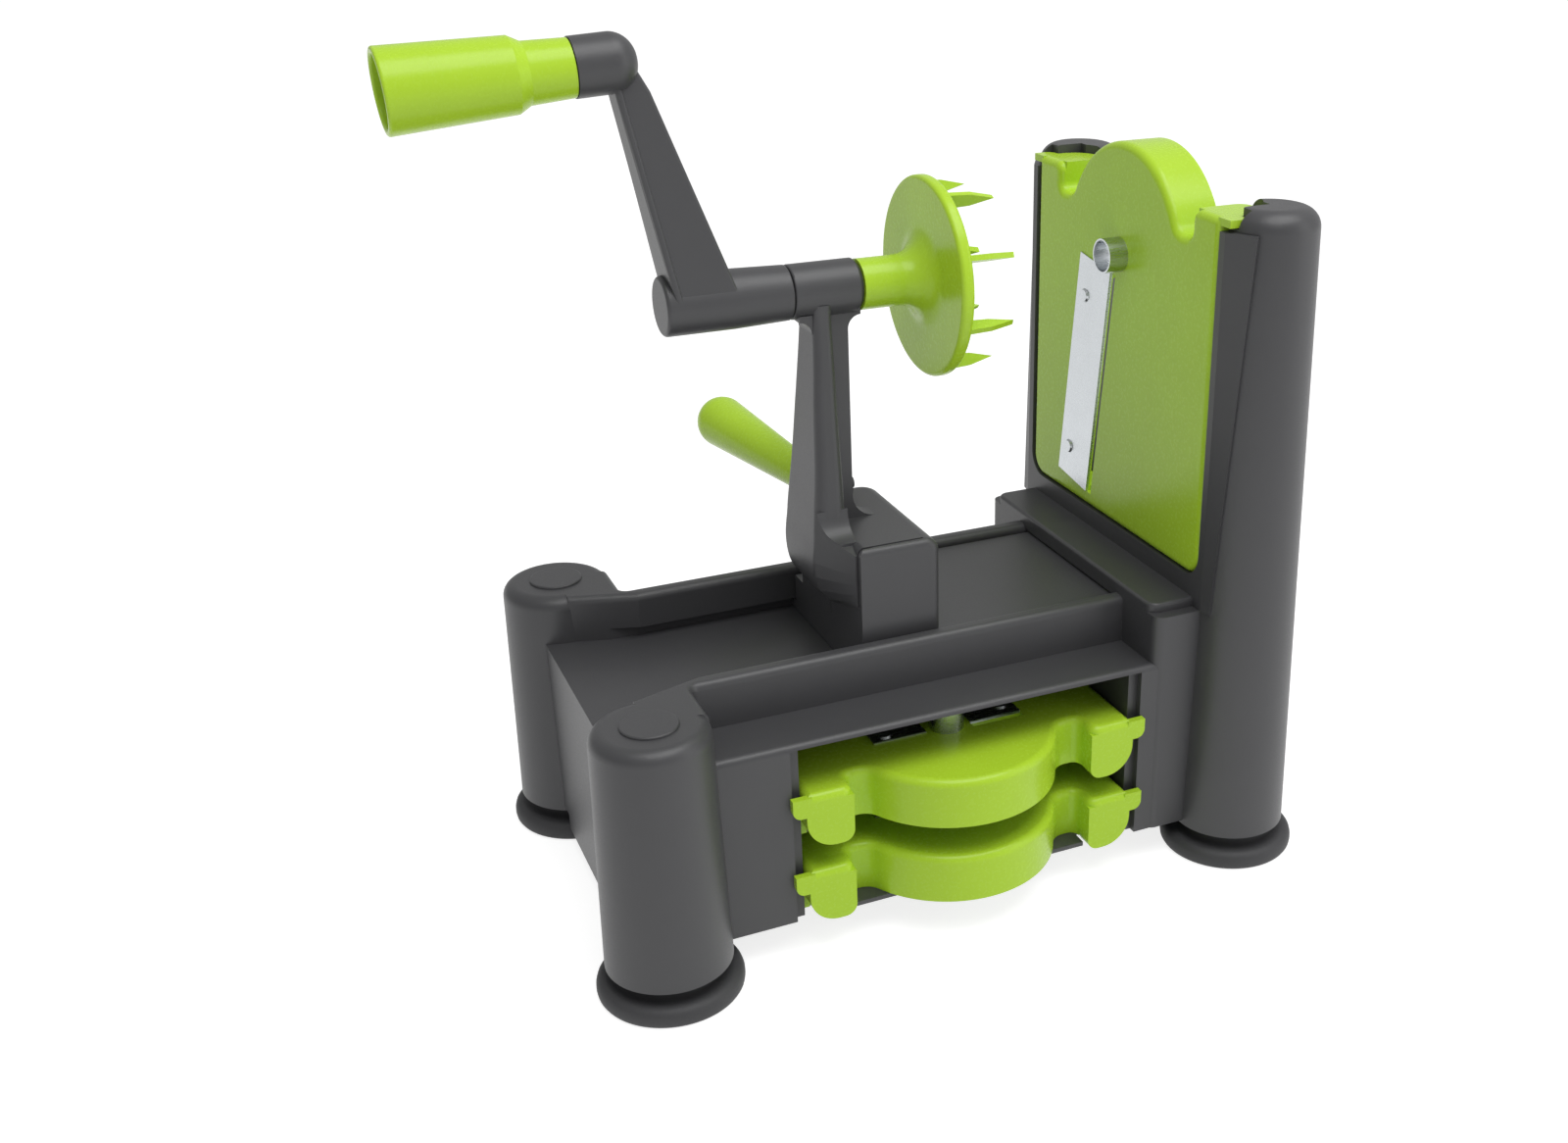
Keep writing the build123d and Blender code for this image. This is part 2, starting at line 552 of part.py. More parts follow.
def tower_frame():
    """The blade seat and the two tall posts, in one moulding."""
    front = PLATE_X - FRAME_PROUD
    beam = block((BEAM_FACE, BEAM_BACK), (-BEAM_Y, BEAM_Y), (SEAM_Z, BEAM_TOP))
    beam = fillet(beam.edges().filter_by(Axis.Z).group_by(Axis.X)[0], BEAM_ROUND)
    beam = fillet(beam.faces().sort_by(Axis.Z)[-1].edges(), BEAM_EDGE)
    seat = block((front, POST_PITCH), (-BEAM_Y, BEAM_Y), (SEAM_Z, SEAT_Z + PLATE_CORNER))
    opening = block((front - 1, POST_PITCH + 1), (PLATE_CORNER - BEAM_Y, BEAM_Y - PLATE_CORNER),
                    (SEAT_Z - SEAT_GAP, SEAT_Z + 2 * PLATE_CORNER))
    rear = block((POST_PITCH, REAR_BAR_BACK), (-REAR_BAR_Y, REAR_BAR_Y),
                 (REAR_BAR_BOTTOM, REAR_BAR_TOP))
    rear = chamfer(rear.edges().filter_by(Axis.Y).group_by(Axis.X)[-1], REAR_BAR_BEVEL)
    tower = beam + (seat - opening) + rear
    for side in SIDES:
        tower += tall_post_tower(side)
        tower += frame_cheek(side)
    tower -= plate_pocket()
    bar = block((BEAM_FACE, BEAM_FACE + WALL), (-RAIL_IN, RAIL_IN),
                (SLAB_TOP + 2 * SLIDE_GAP, SEAM_Z))
    tower += bar
    for side in SIDES:
        x = POST_PITCH
        y = side * TALL_POST_Y
        core_y = y + side * POST_CORE_OFF[1]
        tower -= Pos(x + POST_CORE_OFF[0], core_y, SEAM_Z + WALL) * cone(
            POST_CORE_R, POST_CORE_R, TALL_POST_TOP - SEAM_Z - 3 * WALL)
        tower += Pos(x, y, SEAM_Z - SPIGOT_LONG) * cone(SPIGOT_R, SPIGOT_R, SPIGOT_LONG)
        tower -= Pos(x, y, SEAM_Z - SPIGOT_LONG) * cone(
            TOWER_SCREW_R, TOWER_SCREW_R, TOWER_SCREW_LONG - WALL)
    return tower


def tower_screws():
    """The two screws that hold the tower down, reached from below."""
    screws = []
    for side in SIDES:
        under_head = SEAM_Z - SPIGOT_LONG - WALL
        head = cone(TOWER_HEAD_R, TOWER_HEAD_R, TOWER_HEAD)
        socket = extrude(RegularPolygon(TOWER_SOCKET_R, 6), TOWER_HEAD / 2)
        screw = Pos(0, 0, -TOWER_HEAD) * (head - socket)
        screw += cone(TOWER_SCREW_R, TOWER_SCREW_R, TOWER_SCREW_LONG)
        screws.append(Pos(POST_PITCH, side * TALL_POST_Y, under_head) * screw)
    return Compound(screws)


# ------------------------------------------------------------------------ plates
# A plate is drawn face up: u across is X, v up from the spindle axis is Y, and the
# face is the plane z = 0 with the skirt below it.
def plate_outline(inset=0.0):
    """The plate's outline, or the outline of its hollow, inset by the skirt."""
    low = -PLATE_DOWN + inset
    half = PLATE_HALF - inset
    notch = NOTCH_V - inset
    outline = Pos(0, (low + notch) / 2) * Rectangle(2 * half, notch - low)
    outline += Circle(ARCH_R - inset)
    for side in SIDES:
        wide = PLATE_HALF - EAR_IN - 2 * inset
        middle = side * (PLATE_HALF + EAR_IN) / 2
        outline += Pos(middle, (low + EAR_V - inset) / 2) * Rectangle(wide, EAR_V - inset - low)
    return outline


def rounded_outline():
    """The plate's outline with its corners rounded."""
    outline = plate_outline()
    corners = outline.vertices()
    ear_inner = [v for v in corners if abs(v.Y - EAR_V) < 0.01 and abs(v.X) < EAR_IN + 1]
    outline = fillet(ear_inner, EAR_TOP_ROUND)
    notch = [v for v in outline.vertices() if abs(v.Y - NOTCH_V) < 0.01]
    outline = fillet([v for v in notch if abs(v.X) < EAR_IN - 1], NOTCH_ROUND[0])
    ear_foot = [v for v in outline.vertices()
                if abs(v.Y - NOTCH_V) < 0.01 and abs(abs(v.X) - EAR_IN) < 0.01]
    outline = fillet(ear_foot, NOTCH_ROUND[1])
    return fillet(outline.vertices().group_by(Axis.Y)[0], PLATE_CORNER)


def ear(side):
    """A hollow ear, round at its back corners, with its tab."""
    v_range = (NOTCH_V + EAR_FROM, EAR_V)
    shells = []
    for inset in (0.0, SKIRT):
        shell = block((side * (EAR_IN + inset), side * (PLATE_HALF - inset)),
                      (v_range[0], v_range[1] - inset), (inset - EAR_DEEP, -PLATE_ROUND))
        backs = shell.edges().filter_by(Axis.Y).group_by(Axis.Z)[0].sort_by(Axis.X)
        shell = fillet(backs[::side][-1], EAR_ROUND[0] - inset)
        backs = shell.edges().filter_by(Axis.Y).group_by(Axis.Z)[0].sort_by(Axis.X)
        shells.append(fillet(backs[::side][0], EAR_ROUND[1] - inset))
    tab = block((side * (PLATE_HALF - SKIRT), side * TAB_OUT), (EAR_V - TAB_THICK, EAR_V),
                (-TAB_DEEP, -TAB_SUNK))
    tab = fillet(tab.edges().filter_by(Axis.Y).group_by(Axis.Z)[0].sort_by(Axis.X)[::side][-1],
                 TAB_ROUND)
    return shells[0] - shells[1] + tab


def plate_pan():
    """The moulded pan that every cutting plate starts from, with ears and tabs."""
    pan = extrude(rounded_outline(), -PLATE_DEEP)
    rim = pan.faces().sort_by(Axis.Z)[-1].edges()
    pan = fillet(rim, PLATE_ROUND)
    hollow = plate_outline(SKIRT)
    hollow = fillet(hollow.vertices().group_by(Axis.Y)[0], PLATE_CORNER - SKIRT)
    hollow = extrude(Pos(0, 0, -PLATE_THICK) * hollow, -PLATE_DEEP)
    pan -= hollow
    for side in SIDES:
        pan -= block((side * EAR_IN, side * (PLATE_HALF + 1)), (NOTCH_V + EAR_FROM, EAR_V + 1),
                     (-PLATE_DEEP - 1, -PLATE_ROUND))
        pan += ear(side)
    pan -= Pos(0, 0, -PLATE_DEEP) * cone(TUBE_R, TUBE_R, 2 * PLATE_DEEP)
    return pan


def long_blade_outline():
    """The long blade, with its edge along +X beside the axis and its body above it."""
    start = TUBE_R + BLADE_FROM_TUBE
    return Pos((start + BLADE_REACH) / 2, BLADE_OFFSET + BLADE_WIDE / 2) * Rectangle(
        BLADE_REACH - start, BLADE_WIDE)


def long_blade_frame():
    """Turns a blade's own X axis to the long blade's radial direction."""
    return Rot(0, 0, -90 - BLADE_ANGLE)


def long_blade():
    """The straight blade that peels ribbons."""
    flat = extrude(Pos(0, 0, BLADE_PROUD - BLADE_THICK) * long_blade_outline(), BLADE_THICK)
    for x, y in long_blade_rivets():
        flat -= Pos(x, y, -5) * cone(RIVET_R, RIVET_R, 10)
    return long_blade_frame() * mirror(flat, Plane.XZ)


def long_blade_rivets():
    """Rivet places in the long blade's own frame."""
    across = BLADE_OFFSET + RIVET_FROM_EDGE
    return ((RIVET_FROM_END[0], across), (BLADE_REACH - RIVET_FROM_END[1], across))


def plate_long():
    """The plate with the long blade: a recess under the blade and a slot beside it."""
    recess = extrude(Pos(0, 0, BLADE_PROUD - BLADE_THICK) * long_blade_outline(), BLADE_THICK)
    start = TUBE_R + BLADE_FROM_TUBE
    slot = block((start, BLADE_REACH), (BLADE_OFFSET - SLOT_WIDE, BLADE_OFFSET),
                 (-PLATE_DEEP, PLATE_THICK))
    window = block((start + WINDOW_IN, BLADE_REACH - WINDOW_IN),
                   (BLADE_OFFSET - SLOT_WIDE, BLADE_OFFSET + WINDOW_UNDER),
                   (-PLATE_DEEP, -BLADE_THICK))
    cut = recess + slot + window
    for x, y in long_blade_rivets():
        cut += Pos(x, y, -5) * cone(RIVET_R, RIVET_R, 10)
    return plate_pan() - long_blade_frame() * mirror(cut, Plane.XZ)


def rivet():
    """A rivet through a blade and the plate's face, from its head down."""
    length = BLADE_PROUD + PLATE_THICK
    head = cone(RIVET_HEAD_R, RIVET_HEAD_R - 0.5, RIVET_HEAD)
    tail = Pos(0, 0, -length - RIVET_HEAD) * cone(RIVET_HEAD_R, RIVET_HEAD_R, RIVET_HEAD)
    shank = Pos(0, 0, -length) * cone(RIVET_R, RIVET_R, length)
    return Pos(0, 0, BLADE_PROUD) * (head + shank + tail)


def long_blade_pins():
    """The long blade's two rivets."""
    places = [long_blade_frame() * Pos(x, -y, 0) for x, y in long_blade_rivets()]
    return Compound([place * rivet() for place in places])


def shred_places():
    """Frames of the two short blades, which cut on opposite sides of the axis."""
    return (Pos(0, SHRED_EDGE, 0) * Rot(0, 0, 180), Pos(0, SHRED_EDGE - SHRED_WIDE, 0))


def shred_outline():
    """A short blade along +X with its cutting edge on the X axis."""
    start = TUBE_R + BLADE_FROM_TUBE
    return Pos((start + SHRED_REACH) / 2, SHRED_WIDE / 2) * Rectangle(
        SHRED_REACH - start, SHRED_WIDE)


def shred_rivet():
    """The rivet's place in a short blade's own frame."""
    return (SHRED_REACH - SHRED_RIVET[0], SHRED_WIDE - SHRED_RIVET[1])


def shred_blades():
    """The two short blades of a shredding plate."""
    flat = extrude(Pos(0, 0, BLADE_PROUD - BLADE_THICK) * shred_outline(), BLADE_THICK)
    x, y = shred_rivet()
    flat -= Pos(x, y, -5) * cone(RIVET_R, RIVET_R, 10)
    return Compound([place * flat for place in shred_places()])


def shred_pins():
    """The two rivets of a shredding plate."""
    x, y = shred_rivet()
    return Compound([place * Pos(x, y, 0) * rivet() for place in shred_places()])


def comb_slot():
    """The part of a comb's strip that passes through the plate."""
    front = -SLOT_WIDE - COMB_AHEAD
    return block((TUBE_R + COMB_FROM_TUBE, SHRED_REACH), (front - COMB_THICK, front),
                 (-COMB_STRIP, 0))


def comb(pitch):
    """A steel comb of small points in front of the right-hand slot."""
    low = TUBE_R + COMB_FROM_TUBE
    below, above = COMB_ROOT
    half = pitch * COMB_SHARE
    strip = comb_slot()
    for i in range(int((SHRED_REACH - low) // pitch)):
        x = low + (i + 0.5) * pitch
        tooth = make_face(Polyline((x - half, 0, -below), (x + half, 0, -below),
                                   (x + half, 0, above), (x, 0, COMB_HIGH),
                                   (x - half, 0, above), close=True))
        strip += Pos(0, -SLOT_WIDE - COMB_AHEAD, 0) * extrude(tooth, COMB_THICK, dir=(0, -1, 0))
    return shred_places()[1] * strip


def plate_shred():
    """A shredding plate: recesses, slots and the comb's slit."""
    x, y = shred_rivet()
    pan = plate_pan()
    for place in shred_places():
        cut = extrude(Pos(0, 0, BLADE_PROUD - BLADE_THICK) * shred_outline(), BLADE_THICK)
        cut += block((TUBE_R + BLADE_FROM_TUBE, SHRED_REACH), (-SLOT_WIDE, 0),
                     (-PLATE_DEEP, PLATE_THICK))
        cut += Pos(x, y, -5) * cone(RIVET_R, RIVET_R, 10)
        pan -= place * cut
    return pan - shred_places()[1] * comb_slot()


def coring_tube():
    """The steel tube that the core of the food passes through."""
    tube = Pos(0, 0, -TUBE_DOWN) * cone(TUBE_R, TUBE_R, TUBE_UP + TUBE_DOWN)
    bore = TUBE_R - TUBE_WALL
    tube -= Pos(0, 0, -TUBE_DOWN) * cone(bore, bore, TUBE_UP + TUBE_DOWN)
    return tube


def mounted(solid):
    """Stands a plate's piece up in the tower, its face towards the crank."""
    return Plane(origin=(PLATE_X, 0, SPINDLE_Z), x_dir=(0, -1, 0), z_dir=(-1, 0, 0)) * solid


def stored(solid, face_z):
    """Lays a plate's piece in the bay, its arch out on the near side."""
    y = -(STORED_ARCH_Y - ARCH_R)
    return Plane(origin=(BAY_X, y, face_z), x_dir=(-1, 0, 0), z_dir=(0, 0, 1)) * solid


# ---------------------------------------------------------------------- carriage
def cove(x, z, radius, side_x, side_z, half):
    """A hollow quarter round in the corner of two faces that meet at (x, z)."""
    corner = block((x - side_x * COVE_ROOT, x + side_x * radius), (-half, half),
                   (z - side_z * COVE_ROOT, z + side_z * radius))
    return corner - rod((x + side_x * radius, -half - 1, z + side_z * radius), (0, 1, 0),
                        radius, 2 * half + 2)


def flange_section(z, left, half):
    """One level section of the column's flange."""
    thick = FLANGE_BACK - left
    outline = RectangleRounded(thick, 2 * half, FLANGE_ROUND * thick)
    return Pos((left + FLANGE_BACK) / 2, 0, z) * outline


def column():
    """The T-section column, from its swollen foot on the slab up to the bearing tube."""
    rows = [(DECK_TOP + up, left, half) for up, left, half in FLANGE_LOW]
    rows += [(SPINDLE_Z - down, left, half) for down, left, half in FLANGE_HIGH]
    flange = loft([flange_section(*row) for row in rows])
    web = block((FLANGE_BACK - WALL, COLUMN_BACK), (-COLUMN_WEB_HALF, COLUMN_WEB_HALF),
                (SLAB_TOP, SPINDLE_Z - BUSH_R))
    tube_low = SPINDLE_Z - BEARING_R
    web += cove(COLUMN_BACK, HUMP_TOP, WEB_FOOT_COVE, 1, 1, COLUMN_WEB_HALF)
    web += cove(COLUMN_BACK, tube_low, WEB_TOP_COVE, 1, -1, COLUMN_WEB_HALF)
    web += cove(rows[-2][1], tube_low, FLANGE_COVE, -1, -1, BUSH_R)
    web += rod((COLUMN_BACK - 1, 0, HUMP_TOP + KNOB_UP), (1, 0, 0), KNOB_R, 1 + KNOB_OUT)
    return flange + web


def flank():
    """The near side of the column's foot, which fades into the hump at the slit."""
    start = [(left, DECK_TOP + up) for up, left, _ in FLANGE_LOW]
    low, high = start[0][1], start[-1][1]
    share = (HUMP_TOP - HUMP_ROUND - SLIT_BOTTOM) / (high - low)
    end = [(SLAB_X[0] - FLANK_PROUD, SLIT_BOTTOM + (z - low) * share) for _, z in start]
    start += [(FLANGE_BACK, high), (FLANGE_BACK, low)]
    end += [(FLANGE_BACK, end[-1][1]), (FLANGE_BACK, SLIT_BOTTOM)]
    faces = [make_face(Polyline(*[(x, y, z) for x, z in points], close=True))
             for y, points in ((-FLANK_FROM_Y, start), (SLIT_Y, end))]
    return loft(faces, ruled=True) + flank_cove()


def flank_cove():
    """The hollow from the flange's near side down to the hump's top."""
    end_y = -FLANK_COVE_Y - FLANK_COVE
    left = FLANGE_LOW[-1][1]
    lean = (SLAB_X[0] - FLANK_PROUD - left) / (FLANK_FROM_Y + SLIT_Y)
    end_left = left + (FLANK_FROM_Y + end_y) * lean
    plan = Polyline((left, -FLANK_FROM_Y), (FLANGE_BACK, -FLANK_FROM_Y), (FLANGE_BACK, end_y),
                    (end_left, end_y), close=True)
    fill = Pos(0, 0, HUMP_TOP - COVE_ROOT) * extrude(make_face(plan), COVE_ROOT + FLANK_COVE)
    return fill - rod((left - 1, end_y, HUMP_TOP + FLANK_COVE), (1, 0, 0), FLANK_COVE,
                      FLANGE_BACK - left + 2)


def handle_axis():
    """A point on the push handle's axis at a given y, and the axis direction."""
    along = unit(HANDLE_ROOT, HANDLE_TIP)
    start = Vector(*HANDLE_ROOT)
    return start + along * ((HANDLE_FROM_Y - start.Y) / along.Y), along


def carriage_body():
    """Slab, hump, column and bearing tube, in one moulding."""
    low = DECK_TOP + SLIDE_GAP
    flange_y = RAIL_IN + GROOVE_DEEP - SLIDE_GAP
    slab = block(SLAB_X, (-SLAB_HALF, SLAB_HALF), (low, SLAB_TOP))
    slab += block(SLAB_X, (-flange_y, flange_y), (low, DECK_TOP + GROOVE_HIGH - SLIDE_GAP))
    slab -= block((SLAB_X[0] + WALL, SLAB_X[1] - WALL), (-SLAB_HALF + WALL, SLAB_HALF - WALL),
                  (low, SLAB_TOP - WALL))
    hump = block((SLAB_X[0], HUMP_BACK), (-SLAB_HALF, HUMP_FAR), (SLAB_TOP - 1, HUMP_TOP))
    far_back = hump.edges().filter_by(Axis.Z).group_by(Axis.X)[-1].sort_by(Axis.Y)[-1]
    hump = fillet(far_back, HUMP_FAR_ROUND)
    hump = fillet(top_edges(hump, Axis.Y).sort_by(Axis.X)[-1], HUMP_BACK_ROUND)
    hump = fillet([top_edges(hump, Axis.Y).sort_by(Axis.X)[0],
                   top_edges(hump, Axis.X).sort_by(Axis.Y)[0]], HUMP_ROUND)
    hump -= block((SLAB_X[0] - 1, HUMP_BACK - 2 * WALL), (SLIT_Y - TOP_GROOVE, SLIT_Y),
                  (HUMP_TOP - TOP_GROOVE, HUMP_TOP + 1))
    hump -= block((SLAB_X[0], SLAB_X[0] + SLIT_DEEP), (SLIT_Y - SLIT_WIDE, SLIT_Y),
                  (SLIT_BOTTOM, HUMP_TOP + 1))
    hump -= block((SLAB_X[0] + WALL, HUMP_BACK - WALL), (SLIT_Y + WALL, HUMP_FAR - WALL),
                  (SLAB_TOP - 1, SLAB_TOP + HUMP_CAVITY))
    tube_long = BEARING_X[1] - BEARING_X[0]
    tube = rod((BEARING_X[0], 0, SPINDLE_Z), (1, 0, 0), BEARING_R, tube_long)
    tube = fillet(tube.edges().group_by(Axis.X)[0], SEAM_ROUND)
    tube = chamfer(tube.edges().group_by(Axis.X)[-1], TUBE_BEVEL)
    body = slab + hump + column() + flank() + tube
    start, along = handle_axis()
    body += rod(start - along * HANDLE_BOSS, along, HANDLE_BOSS_R, HANDLE_BOSS)
    body -= rod(start - along * HANDLE_SPIGOT, along, HANDLE_SPIGOT_R, HANDLE_SPIGOT)
    body -= rod((BEARING_X[0], 0, SPINDLE_Z), (1, 0, 0), BUSH_R, tube_long)
    for x in (BEARING_X[0], BEARING_X[1] - BUSH_FLANGE):
        body -= rod((x, 0, SPINDLE_Z), (1, 0, 0), BUSH_FLANGE_R, BUSH_FLANGE)
    stop_wall = STOP_R + WALL
    body += block((STOP_X - stop_wall, STOP_X + stop_wall), (-stop_wall, stop_wall),
                  (low, SLAB_TOP - WALL / 2))
    body -= Pos(STOP_X, 0, low) * cone(STOP_R, STOP_R, STOP_UP)
    return body


def carriage_stop():
    """The peg under the slab that ends the travel in the deck's slot."""
    low = DECK_TOP - STOP_DOWN
    return Pos(STOP_X, 0, low) * cone(STOP_R, STOP_R, STOP_DOWN + SLIDE_GAP + STOP_UP)


def bearing_bush(end):
    """A flanged bush in one end of the bearing tube: -1 left, 1 right."""
    bush = cone(BUSH_R, BUSH_R, BUSH_LONG) + cone(BUSH_FLANGE_R, BUSH_FLANGE_R, BUSH_FLANGE)
    bush -= cone(SHAFT_R + RUNNING, SHAFT_R + RUNNING, BUSH_LONG)
    x = BEARING_X[0] if end < 0 else BEARING_X[1]
    return Plane(origin=(x, 0, SPINDLE_Z), z_dir=(-end, 0, 0)) * bush


def push_handle():
    """The tapered handle that pushes the carriage."""
    start, along = handle_axis()
    root_r, tip_r = HANDLE_R
    length = (Vector(*HANDLE_TIP) - start).length
    handle = cone(root_r, tip_r, length) + Pos(0, 0, length) * Sphere(tip_r)
    handle = fillet(handle.edges().group_by(Axis.Z)[0], HANDLE_SHOULDER)
    handle += Pos(0, 0, END_PLAY - HANDLE_SPIGOT) * cone(
        HANDLE_SPIGOT_R, HANDLE_SPIGOT_R, HANDLE_SPIGOT)
    return Plane(origin=start, z_dir=along) * handle


# ------------------------------------------------------------------------- crank
def grip_frame():
    """A plane on the boss's left face, its Z axis along the grip to its free end."""
    tilt = radians(GRIP_TILT)
    return Plane(origin=(BOSS_LEFT, 0, SPINDLE_Z + CRANK_RADIUS), x_dir=(0, 1, 0),
                 z_dir=(-cos(tilt), 0, -sin(tilt)))


def arm_sections(thick=None, wider=0.0):
    """The arm's level sections, or those of the raised strip along its left face."""
    low_z = SPINDLE_Z + ARM_LOW_UP
    high_z = SPINDLE_Z + CRANK_RADIUS - ARM_HIGH_DOWN
    slope = (ARM_HIGH[0] - ARM_LOW[0]) / (high_z - low_z)
    sections = ((ARM_LOW[0] - slope * ARM_LOW_UP, SPINDLE_Z, ARM_LOW),
                (ARM_HIGH[0], high_z, ARM_HIGH),
                (ARM_TOP[0], high_z + ARM_HIGH_DOWN, ARM_TOP))
    faces = []
    for x, z, (_, wide_x, wide_y) in sections:
        wide = thick or wide_x
        middle = x - (wide_x - wide) / 2
        faces.append(Pos(middle, 0, z) * RectangleRounded(wide, wide_y + wider, ARM_ROUND))
    return faces


def crank_arm():
    """Hub, arm and grip boss, in one moulding."""
    hub_right = BEARING_X[0] - END_PLAY
    taper_from = ARM_LOW[0] + ARM_LOW[1] / 2
    hub = rod((HUB_LEFT, 0, SPINDLE_Z), (1, 0, 0), HUB_R[0], taper_from - HUB_LEFT)
    hub += rod((taper_from, 0, SPINDLE_Z), (1, 0, 0), HUB_R[0], hub_right - taper_from, HUB_R[1])
    hub = fillet(hub.edges().group_by(Axis.X)[0], HUB_ROUND)
    hub = fillet(hub.edges().group_by(Axis.X)[-1], SEAM_ROUND)
    arm = loft(arm_sections(wider=-2 * STRIP_PROUD), ruled=True)
    arm += loft(arm_sections(thick=STRIP_THICK), ruled=True)
    boss = Pos(0, 0, -BOSS_LONG) * cone(BOSS_R, BOSS_R, BOSS_LONG)
    boss = fillet(boss.edges().group_by(Axis.Z)[0], BOSS_ROUND)
    crank = hub + arm + grip_frame() * boss
    crank -= grip_frame() * Pos(0, 0, WALL - BOSS_LONG) * cone(GRIP_PIN_R, GRIP_PIN_R, BOSS_LONG)
    crank -= rod((shaft_left(), 0, SPINDLE_Z), (1, 0, 0), SHAFT_R, BEARING_X[0] - shaft_left())
    crank -= cross_pin_hole()
    return crank


def shaft_left():
    """Where the shaft starts inside the hub."""
    return HUB_LEFT + SHAFT_IN


def cross_pin_hole():
    """The blind hole up through hub and shaft for the cross pin."""
    x = BEARING_X[0] - CROSS_PIN_IN
    return rod((x, 0, SPINDLE_Z - HUB_R[0] - 1), (0, 0, 1), CROSS_PIN_R,
               HUB_R[0] + 1 + SHAFT_R + CROSS_PIN_PAST)


def hub_cross_pin():
    """The pin that keys the hub to the shaft."""
    x = BEARING_X[0] - CROSS_PIN_IN
    down = HUB_R[1] - CROSS_PIN_SUNK
    return rod((x, 0, SPINDLE_Z - down), (0, 0, 1), CROSS_PIN_R, down + SHAFT_R + CROSS_PIN_PAST)


def holder_start():
    """The end of the food holder's neck beside the right-hand bush."""
    return BEARING_X[1] + END_PLAY


def drive_shaft():
    """The steel shaft from the crank's hub to the food holder."""
    end = DISC_X - SHAFT_COVER
    shaft = rod((shaft_left(), 0, SPINDLE_Z), (1, 0, 0), SHAFT_R, end - shaft_left())
    shaft -= cross_pin_hole()
    shaft -= rod((end - HOLDER_SCREW_IN, 0, SPINDLE_Z), (1, 0, 0), HOLDER_SCREW_R, HOLDER_SCREW_IN)
    return shaft


def prong(length):
    """A flat pointed prong that stands up from z = 0."""
    half = PRONG_WIDE / 2
    profile = make_face(Polyline((-half, 0, 0), (half, 0, 0), (half * 0.8, 0, length * 0.55),
                                 (0, 0, length), (-half * 0.8, 0, length * 0.55), close=True))
    return extrude(profile, PRONG_THICK / 2, both=True)


def food_holder():
    """The pronged disc that holds and turns the food, with its neck."""
    length = DISC_X - holder_start()
    flare_from = length - NECK_FLARE
    neck = cone(NECK_R, NECK_R, length) + Pos(0, 0, flare_from) * cone(
        NECK_R + NECK_FLARE, NECK_R + NECK_FLARE, NECK_FLARE)
    neck -= Pos(0, 0, flare_from) * Torus(NECK_R + NECK_FLARE, NECK_FLARE)
    disc = Pos(0, 0, length) * cone(DISC_R, DISC_R, DISC_THICK)
    disc = fillet(disc.edges(), DISC_ROUND)
    holder = neck + disc
    for count, ring, prong_long in PRONG_RINGS:
        for i in range(count):
            place = Rot(0, 0, 360 * (i + 0.5) / count) * Pos(ring, 0, length + DISC_THICK / 2)
            holder += place * prong(prong_long + DISC_THICK / 2)
    holder -= cone(SHAFT_R, SHAFT_R, length - SHAFT_COVER)
    holder -= cone(HOLDER_SCREW_R, HOLDER_SCREW_R, length + DISC_THICK + 1)
    holder -= Pos(0, 0, length + DISC_THICK - HOLDER_HEAD_SUNK) * cone(
        HOLDER_HEAD_R, HOLDER_HEAD_R, HOLDER_HEAD_SUNK + 1)
    return Plane(origin=(holder_start(), 0, SPINDLE_Z), x_dir=(0, 0, 1), z_dir=(1, 0, 0)) * holder


def holder_screw():
    """The screw that draws the food holder on to the shaft."""
    under_head = DISC_X + DISC_THICK - HOLDER_HEAD_SUNK
    tip = DISC_X - SHAFT_COVER - HOLDER_SCREW_IN + 1
    screw = rod((under_head, 0, SPINDLE_Z), (1, 0, 0), HOLDER_HEAD_R, HOLDER_HEAD_SUNK)
    screw += rod((tip, 0, SPINDLE_Z), (1, 0, 0), HOLDER_SCREW_R, under_head - tip)
    return screw


def grip():
    """The turning grip, open at its free end."""
    neck_end, neck_start_r, neck_end_r = GRIP_NECK
    big = neck_end + GRIP_SHOULDER
    shell = turned([(GRIP_PIN_R + RUNNING, END_PLAY), (neck_start_r, END_PLAY),
                    (neck_end_r, neck_end), (GRIP_R[0], big), (GRIP_R[1], GRIP_LONG),
                    (GRIP_R[1] - GRIP_WALL, GRIP_LONG), (GRIP_R[0] - GRIP_WALL, big + GRIP_ROUND),
                    (neck_end_r - GRIP_WALL, neck_end), (GRIP_PIN_R + RUNNING, neck_end)])
    rim = shell.edges().group_by(Axis.Z)[-1]
    return grip_frame() * fillet(rim, GRIP_ROUND)


def grip_pin():
    """The headed pin that the grip turns on."""
    head_at = GRIP_NECK[0] + END_PLAY + GRIP_WASHER
    sunk = BOSS_LONG - WALL
    pin = Pos(0, 0, -sunk) * cone(GRIP_PIN_R, GRIP_PIN_R, sunk + head_at)
    pin += Pos(0, 0, head_at) * cone(GRIP_HEAD_R, GRIP_HEAD_R - GRIP_ROUND, GRIP_HEAD)
    return grip_frame() * pin


def grip_washer():
    """The washer between the pin's head and the grip."""
    washer = cone(GRIP_WASHER_R, GRIP_WASHER_R, GRIP_WASHER)
    washer -= cone(GRIP_PIN_R, GRIP_PIN_R, GRIP_WASHER)
    return grip_frame() * Pos(0, 0, GRIP_NECK[0] + END_PLAY) * washer


